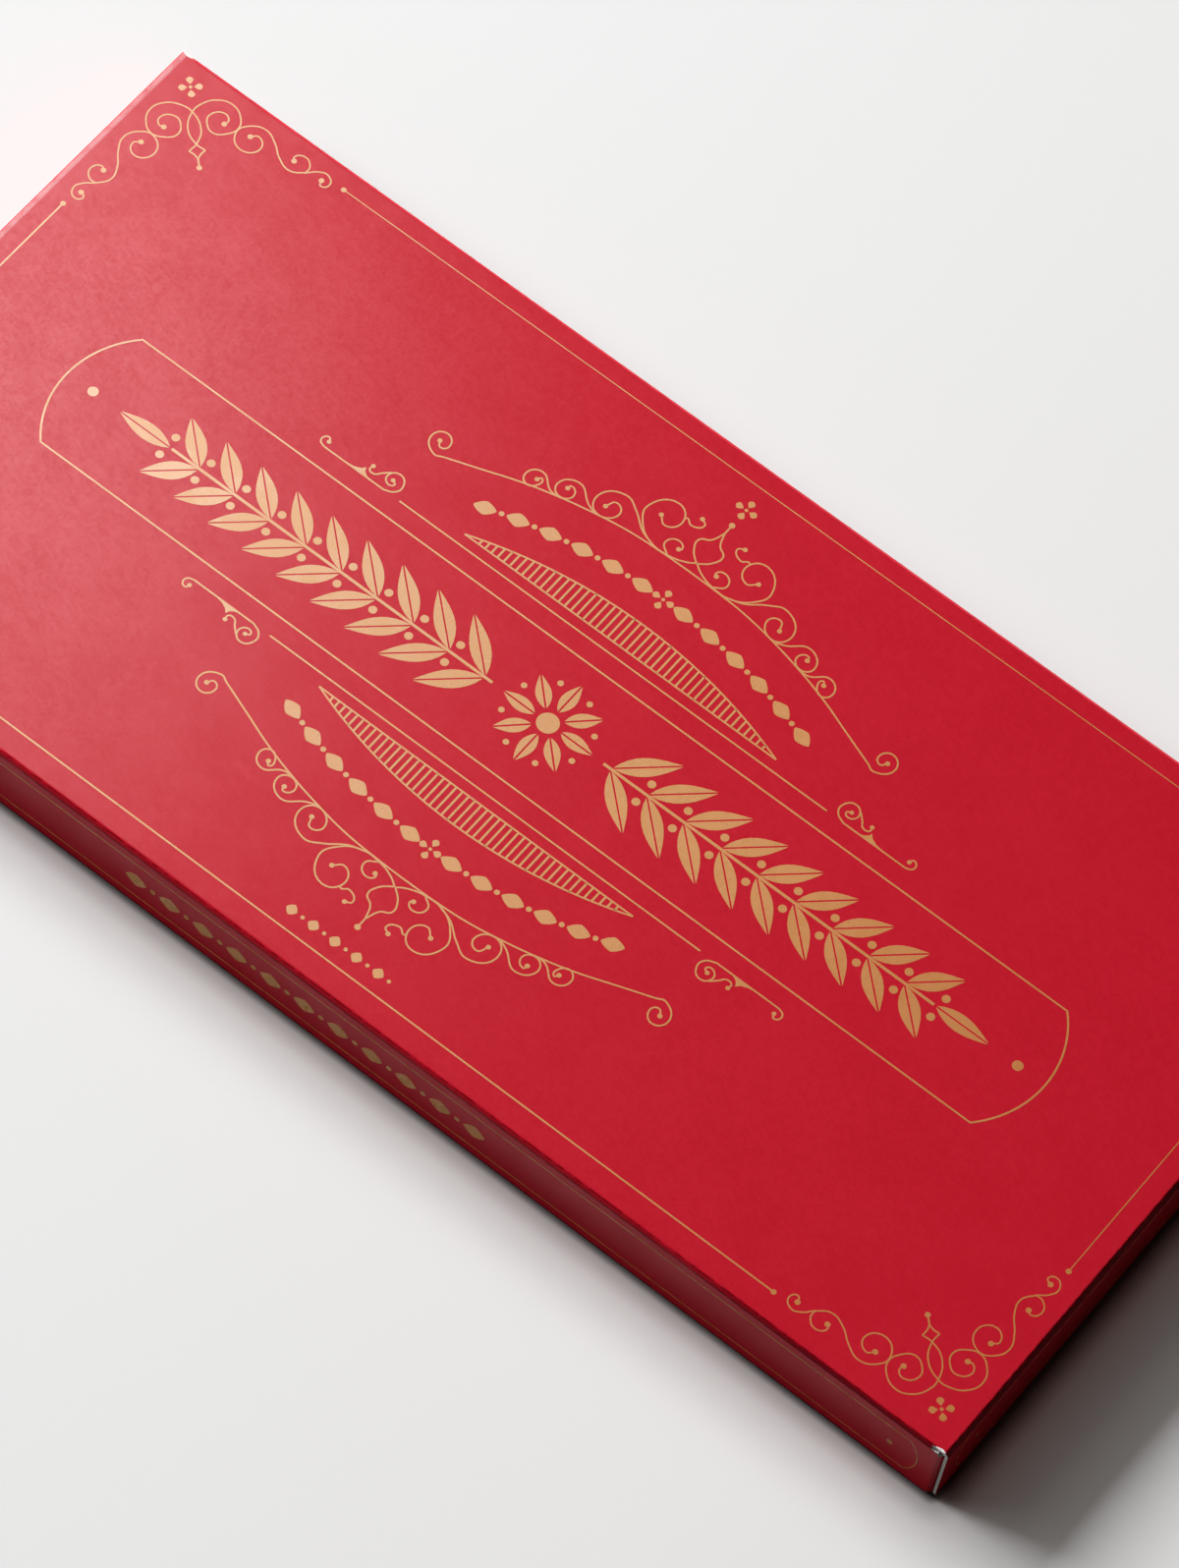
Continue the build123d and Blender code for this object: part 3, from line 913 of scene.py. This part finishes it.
def side_scroll():
    art = Artwork()
    art.rule([(-38.25, 10.8), (-30.25, 10.8)])
    art.shape([(-35.4, 10.85), (-34.4, 11.0), (-33.7, 11.3), (-33.3, 11.75), (-33.1, 11.3),
               (-32.7, 11.0), (-32.2, 10.85)])
    left = [(-38.25, 10.8), (-38.9, 11.1), (-39.0, 11.7), (-38.45, 12.05), (-38.2, 11.6)]
    right = [(-30.25, 10.8), (-29.2, 11.35), (-28.9, 12.3), (-29.9, 13.4), (-31.0, 12.6), (-30.4, 11.65),
             (-29.75, 12.0), (-30.2, 12.35)]
    branch = [(-30.9, 13.0), (-31.6, 12.3), (-32.2, 11.65), (-32.9, 11.8), (-32.85, 12.35)]
    for scroll in (left, right, branch):
        art.curve(scroll)
        art.dot(*scroll[-1], 0.5)
    return art


def bead_row(art, points, big, small):
    """Lozenges and dots in turn; each point is x, y and the turn in degrees."""
    for i, (x, y, turn) in enumerate(points):
        if i % 2 == 0:
            art.shape(placed(lozenge(0, 0, *big), x, y, turn))
        else:
            art.dot(x, y, small)


def arched_beads(art):
    """A bowed row of lozenges and dots with a small rosette in the middle."""
    head, spacing = 19.65, 1.86
    radius = bow_radius(20.3, 3.35)
    points = []
    for i in range(1, 12):
        t = spacing * (i + 0.45) / radius
        points.append((radius * sin(t), head - radius + radius * cos(t), -t * 180 / pi))
    half = Artwork()
    bead_row(half, points, (1.3, 0.86), 0.62)
    art.take_both(half)
    quatrefoil(art, 0, head, 1.35)


def top_art():
    art = Artwork()
    top_frame(art)
    plaque(art, 60.81, 8.40, 64.1, BOLD, 60.64, 1.2)
    laurel(art)
    upper = Artwork()
    upper.rule([(-28.13, 10.81), (28.13, 10.81)])
    upper.take(crown(), straight)
    hatched_lens(upper)
    upper.take_both(side_scroll())
    arched_beads(upper)
    art.take(upper, straight)
    art.take(upper, lambda x, y: (x, -y))
    quatrefoil(art, 0, 34.1, 1.35)
    row = [(-6.3 + 1.4 * i, -34.4, 0) for i in range(10)]
    bead_row(art, row, (0.66, 0.66), 0.45)
    return art


def wall_art():
    """A long narrow plaque with a row of lozenges and dots."""
    art = Artwork()
    plaque(art, 76.9, 3.09, 78.1, FAINT, 74.7, 0.75)
    bead_row(art, [(-22.0 + 2.2 * i, 0, 0) for i in range(21)], (1.35, 1.05), 0.7)
    return art


def closure_art():
    art = Artwork()
    plaque(art, 35.8, 3.09, 37.0, FAINT, 33.6, 0.6)
    return art


def bottom_art():
    art = Artwork()
    frame_half_x, frame_half_y = 74.0, 33.5
    outline = [(-frame_half_x, -frame_half_y), (frame_half_x, -frame_half_y),
               (frame_half_x, frame_half_y), (-frame_half_x, frame_half_y)]
    art.rule(outline, FINE, closed=True)
    for x, y in outline:
        quatrefoil(art, x * 0.965, y * 0.92, 1.25)
    quatrefoil(art, 0, 0, 3.0)
    return art


def new_drawing(name, dimensions):
    deselect()
    bpy.ops.curve.primitive_bezier_curve_add(location=(0, 0, 0))
    obj = bpy.context.object
    obj.name = name
    obj.data.splines.clear()
    obj.data.dimensions = dimensions
    return obj.data


def draw_lines(art, name):
    drawn = new_drawing(name, "3D")
    drawn.twist_mode = "Z_UP"
    drawn.resolution_u = 6
    drawn.extrude = FINE / 2 * MM
    strokes = [(points, width, False, "AUTO") for points, width in art.curves]
    strokes += [(points, width, closed, "VECTOR") for points, width, closed in art.rules]
    for i, (points, width, closed, handle) in enumerate(strokes):
        spline = drawn.splines.new("BEZIER")
        spline.bezier_points.add(len(points) - 1)
        spline.use_cyclic_u = closed
        spline.resolution_u = 6 if handle == "AUTO" else 1
        for point, (x, y) in zip(spline.bezier_points, points):
            point.co = (x * MM, y * MM, -STEP * (i % 6) * MM)
            point.handle_left_type = handle
            point.handle_right_type = handle
            point.radius = width / FINE
            point.tilt = pi / 2
    bpy.ops.object.convert(target="MESH")
    return bpy.context.object


def draw_shapes(art, name):
    drawn = new_drawing(name, "2D")
    drawn.fill_mode = "BOTH"
    for points in art.shapes:
        spline = drawn.splines.new("POLY")
        spline.points.add(len(points) - 1)
        spline.use_cyclic_u = True
        for point, (x, y) in zip(spline.points, points):
            point.co = (x * MM, y * MM, 0, 1)
    bpy.ops.object.convert(target="MESH")
    return bpy.context.object


def print_gold(name, art, body, place, turn=(0, 0, 0), material=WALL_GOLD):
    """Lays an artwork on a panel as a thin layer that ends at the panel's outer face."""
    lines = draw_lines(art, name)
    shapes = draw_shapes(art, name + "_shapes")
    shapes.location.z = -STEP * 7 * MM
    apply_place(shapes)
    lines.select_set(True)
    shapes.select_set(True)
    bpy.context.view_layer.objects.active = lines
    bpy.ops.object.join()
    obj = named(name)
    edit(obj)
    shape = bmesh.from_edit_mesh(obj.data)
    for face in shape.faces:
        face.select_set(face.normal.z < 0)
    bmesh.update_edit_mesh(obj.data)
    bpy.ops.mesh.flip_normals()
    done()
    obj.data.materials.clear()
    obj.data.materials.append(material)
    apply_modifier(obj, "SOLIDIFY", thickness=GOLD_DEPTH * MM, offset=-1)
    bpy.ops.object.shade_flat()
    obj.rotation_euler = turn
    obj.location = place
    apply_place(obj)
    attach(obj, body)
    return obj


print_gold("top_gold", top_art(), "carton", (-0.13 * MM, -0.04 * MM, TOP_Z), material=GOLD)
print_gold("front_gold", wall_art(), "carton", (0, -SIDE_Y, TOP_Z / 2), (pi / 2, 0, 0))
print_gold("back_gold", wall_art(), "carton", (0, SIDE_Y, TOP_Z / 2), (pi / 2, 0, pi))
print_gold("bottom_gold", bottom_art(), "carton", (0, 0, 0), (pi, 0, 0))
for side, sign in (("right", 1), ("left", -1)):
    place = (sign * END_X, 0, TOP_Z / 2)
    print_gold(side + "_closure_gold", closure_art(), side + "_closure", place, (pi / 2, 0, sign * pi / 2))


# The wrapped tablet

WRAP_HALF_X = 75.05 * MM
WRAP_HALF_Y = 37.65 * MM
WRAP_FOOT = 0.35 * MM
WRAP_HEAD = 8.75 * MM
WRAP_EDGE = 0.9 * MM
FOIL_SHEET = 0.05 * MM
FOIL_CELL = 3.4 * MM            # size of the facets that the foil creases into
FOIL_CREASE = 0.10 * MM
seed_set(1)                     # so that the foil creases in the same way each run


def net_of_cuts(half_x, half_y):
    """Cuts the selected faces into cells, so that the foil can crease."""
    for point, normal, reach in ((X, X, half_x), (Y, Y, half_y)):
        count = int(reach / FOIL_CELL)
        for i in range(-count, count + 1):
            cut(point * (i * FOIL_CELL), normal)
    cut((0, 0, (WRAP_FOOT + WRAP_HEAD) / 2), Z)
    bpy.ops.mesh.quads_convert_to_tris(quad_method="BEAUTY")


def wrap_body():
    """Foil pressed over the tablet, in small flat facets."""
    deselect()
    bpy.ops.mesh.primitive_cube_add(size=1, location=(0, 0, (WRAP_FOOT + WRAP_HEAD) / 2))
    obj = named("foil")
    obj.scale = (2 * (WRAP_HALF_X - FOIL_CREASE), 2 * (WRAP_HALF_Y - FOIL_CREASE),
                 WRAP_HEAD - WRAP_FOOT - 2 * FOIL_CREASE)
    apply_place(obj)
    edit(obj)
    bpy.ops.mesh.bevel(offset=WRAP_EDGE, segments=3)
    net_of_cuts(WRAP_HALF_X - 2 * WRAP_EDGE, WRAP_HALF_Y - 2 * WRAP_EDGE)
    done()
    for v in obj.data.vertices:
        shift = noise_vector(v.co / FOIL_CELL * 3.7)
        flat = abs(v.co.x) < WRAP_HALF_X - 3 * MM and abs(v.co.y) < WRAP_HALF_Y - 3 * MM
        drift = 1.1 * MM if flat else 0.1 * MM
        v.co += Vector((drift * shift.x, drift * shift.y, 1.3 * FOIL_CREASE * shift.z))
    return obj


def end_fold(name, root_z, free_z, root_half, free_half, start, lift):
    """One fold at the right end: a trapezoid from its root edge, standing off a little at its free edge."""
    height = abs(free_z - root_z)
    middle = (root_z + free_z) / 2
    obj = rectangle(name, (start, 0, middle), (height, 2 * root_half), (0, pi / 2, 0))
    edit(obj)
    for sign in (-1, 1):
        slant = (0, sign * height, (root_half - free_half) * (1 if free_z > root_z else -1))
        cut((start, sign * root_half, root_z), slant, clear=True)
    for i in range(1, 5):
        cut((0, 0, root_z + (free_z - root_z) * i / 5), Z)
    for i in range(-10, 11):
        cut((0, i * FOIL_CELL, 0), Y)
    bpy.ops.mesh.quads_convert_to_tris(quad_method="BEAUTY")
    done()
    for v in obj.data.vertices:
        share = (v.co.z - root_z) / (free_z - root_z)
        shift = noise_vector(v.co / FOIL_CELL * 2.9 + Vector((start / MM, 0, 0)))
        v.co.x += share * (lift * share + 0.5 * FOIL_CREASE * (shift.x + 0.6))
    apply_modifier(obj, "SOLIDIFY", thickness=FOIL_SHEET, offset=0)
    return obj


def foil_wrap():
    """The wrap with a fold from below under one from above at each end."""
    body = wrap_body()
    root_half = WRAP_HALF_Y - 1.1 * WRAP_EDGE
    low, high = WRAP_FOOT + 0.8 * WRAP_EDGE, WRAP_HEAD - 0.8 * WRAP_EDGE
    under = end_fold("under_fold", low, high - 1.1 * MM, root_half, root_half * 0.72, WRAP_HALF_X, 0.03 * MM)
    outside = WRAP_HALF_X + 0.07 * MM
    over = end_fold("over_fold", high, low + 0.3 * MM, root_half, root_half * 0.55, outside, 0.2 * MM)
    folds = [under, over, other_end(under, "left_under_fold"), other_end(over, "left_over_fold")]
    make_active(body)
    for fold in folds:
        fold.select_set(True)
    bpy.ops.object.join()
    obj = bpy.context.object
    obj.data.materials.clear()
    obj.data.materials.append(FOIL)
    bpy.ops.object.shade_flat()
    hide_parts("foil_wrap")
    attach(obj, "carton")


foil_wrap()


def dress(node_name, material):
    """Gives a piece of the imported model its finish."""
    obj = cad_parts[node_name]
    obj.data.materials.clear()
    obj.data.materials.append(material)


dress("glue_flap", GLUE_FLAP_BOARD)
dress("chocolate_tablet", CHOCOLATE)
for node_name in ("seam_glue", "right_glue_spots", "left_glue_spots"):
    dress(node_name, GLUE)


# The floor, the lights and the camera

def close_by(tree, place, reach, most):
    """How close the floor is to the foot of the box, from most at the foot to none at the reach in mm."""
    along = parts_of(tree, place)
    gaps = []
    for axis, half in ((0, END_X), (1, SIDE_Y)):
        beyond = maths(tree, "SUBTRACT", maths(tree, "ABSOLUTE", along[axis]), half - FOLD)
        gaps.append(maths(tree, "MAXIMUM", beyond, 0.0))
    return soft_step(tree, hypotenuse(tree, *gaps), FOLD * 0.8, FOLD + reach * MM, most, 0.0)


def seen_straight(tree, path):
    return maths(tree, "ADD", path["Is Camera Ray"], path["Is Transmission Ray"])


def pale_floor():
    """A pale table; away from the box it fades into an even backdrop."""
    deselect()
    bpy.ops.mesh.primitive_circle_add(vertices=96, radius=6.0, fill_type="NGON", location=(0, 0, 0))
    obj = bpy.context.object
    obj.name = "floor"
    made, tree, shader = new_material("Pale floor", Roughness=0.9, Specular_IOR_Level=0.1)
    place = object_place(tree)
    along = parts_of(tree, place)
    # painted shade: the paper is darker towards the key light, which evens out its falloff on the floor
    toward_key = {"Value": along[0], "From Min": 0.06, "From Max": -0.11}
    near_light = node(tree, "MapRange", toward_key).outputs[0]
    paper = blend_colour(tree, near_light, (0.93, 0.93, 0.93, 1), (0.77, 0.785, 0.785, 1))
    away = node(tree, "VectorMath", {0: place}, operation="LENGTH").outputs["Value"]
    far = soft_step(tree, away, 0.2, 0.8)
    path = node(tree, "LightPath").outputs
    seen = maths(tree, "ADD", seen_straight(tree, path), path["Is Glossy Ray"], clamp=True)
    # the contact shade, then a broader one that is deepest beside the right end, then one in the gloss
    paper = blend_colour(tree, close_by(tree, place, 0.9, 0.8), paper, (0.03, 0.02, 0.026, 1))
    at_end = soft_step(tree, along[0], 79.5 * MM, 81.2 * MM)
    beside = soft_step(tree, maths(tree, "ABSOLUTE", along[1]), 37.5 * MM, 40.0 * MM, 0.61, 0.0)
    shaded = maths(tree, "MULTIPLY_ADD", at_end, beside, 0.34)
    shaded = times(tree, shaded, close_by(tree, place, 3.4, 1.0))
    paper = blend_colour(tree, shaded, paper, (0.05, 0.03, 0.03, 1))
    deep = times(tree, close_by(tree, place, 4.0, 0.9), path["Is Glossy Ray"])
    paper = blend_colour(tree, deep, paper, (0.012, 0.008, 0.008, 1))
    # other rays meet a greyer floor, so that it throws less light on the box
    paper = blend_colour(tree, seen, (0.27, 0.27, 0.27, 1), paper)
    feed(shader["Base Color"], paper)
    backdrop = node(tree, "Emission", {"Color": (0.88, 0.88, 0.89, 1), "Strength": 1.0})
    lit = tree.nodes["Principled BSDF"].outputs[0]
    mixed = node(tree, "MixShader", {0: times(tree, far, seen), 1: lit, 2: backdrop.outputs[0]})
    feed(tree.nodes["Material Output"].inputs["Surface"], mixed.outputs[0])
    obj.data.materials.append(made)


def soft_light(name, azimuth, elevation, distance, size, watts, lights="all"):
    """A soft rectangle to the left of the box, aimed at its middle; angles in radians, lengths in metres."""
    toward = Vector((-cos(elevation) * cos(azimuth), cos(elevation) * sin(azimuth), sin(elevation)))
    deselect()
    bpy.ops.object.light_add(type="AREA", location=toward * distance)
    lamp = bpy.context.object
    lamp.name = name
    lamp.data.shape = "RECTANGLE"
    lamp.data.size, lamp.data.size_y = size
    lamp.data.energy = watts
    lamp.rotation_euler = (-toward).to_track_quat("-Z", "Y").to_euler()
    lamp.visible_camera = False
    lamp.visible_diffuse = lights != "gloss"
    lamp.visible_glossy = lights != "tone"


def dim_room():
    """Little light from all round; seen straight or low down in a gloss, the room is pale."""
    world = bpy.data.worlds.new("Room")
    bpy.context.scene.world = world
    world.use_nodes = True
    tree = world.node_tree
    background = tree.nodes["Background"]
    path = node(tree, "LightPath").outputs
    up = parts_of(tree, node(tree, "TexCoord").outputs["Generated"])[2]
    wall = soft_step(tree, up, 0.30, 0.50, 1.0, 0.0)
    gloss = times(tree, path["Is Glossy Ray"], wall)
    seen = maths(tree, "ADD", seen_straight(tree, path), gloss, clamp=True)
    tone = blend_colour(tree, seen, (0.046, 0.037, 0.031, 1), (0.88, 0.88, 0.89, 1))
    feed(background.inputs["Color"], tone)
    background.inputs["Strength"].default_value = 1.0


def photo_camera():
    """The photograph's view: from the front right, 60 degrees down, the picture turned by 12."""
    deselect()
    bpy.ops.object.camera_add(location=(0.20058, -0.38077, 0.74645))
    camera = bpy.context.object
    camera.name = "photo_camera"
    camera.rotation_mode = "QUATERNION"
    aim = Vector((-0.22713, 0.44458, -0.86646))
    level = aim.cross(Z).normalized()
    upright = level.cross(aim)
    roll = radians(12.261)
    across = level * cos(roll) + upright * sin(roll)
    above = upright * cos(roll) - level * sin(roll)
    axes = Matrix((across, above, -aim)).transposed()
    camera.rotation_quaternion = axes.to_quaternion()
    camera.data.sensor_width = 36.0
    camera.data.lens = 190.05
    camera.data.clip_start = 0.02
    bpy.context.scene.camera = camera


pale_floor()
soft_light("key_light", azimuth=0.075, elevation=0.551, distance=1.031, size=(0.80, 0.331), watts=17.0)
high = {"azimuth": 0.879, "elevation": 0.990, "distance": 2.319, "watts": 4.5}
soft_light("high_light", size=(0.228, 0.319), lights="gloss", **high)
soft_light("high_glow", size=(1.7, 1.7), lights="tone", **high)
soft_light("fill_light", azimuth=-0.253, elevation=0.663, distance=1.551, size=(1.097, 0.846), watts=4.0)
dim_room()
photo_camera()
bpy.context.scene.view_settings.view_transform = "Standard"

deselect()
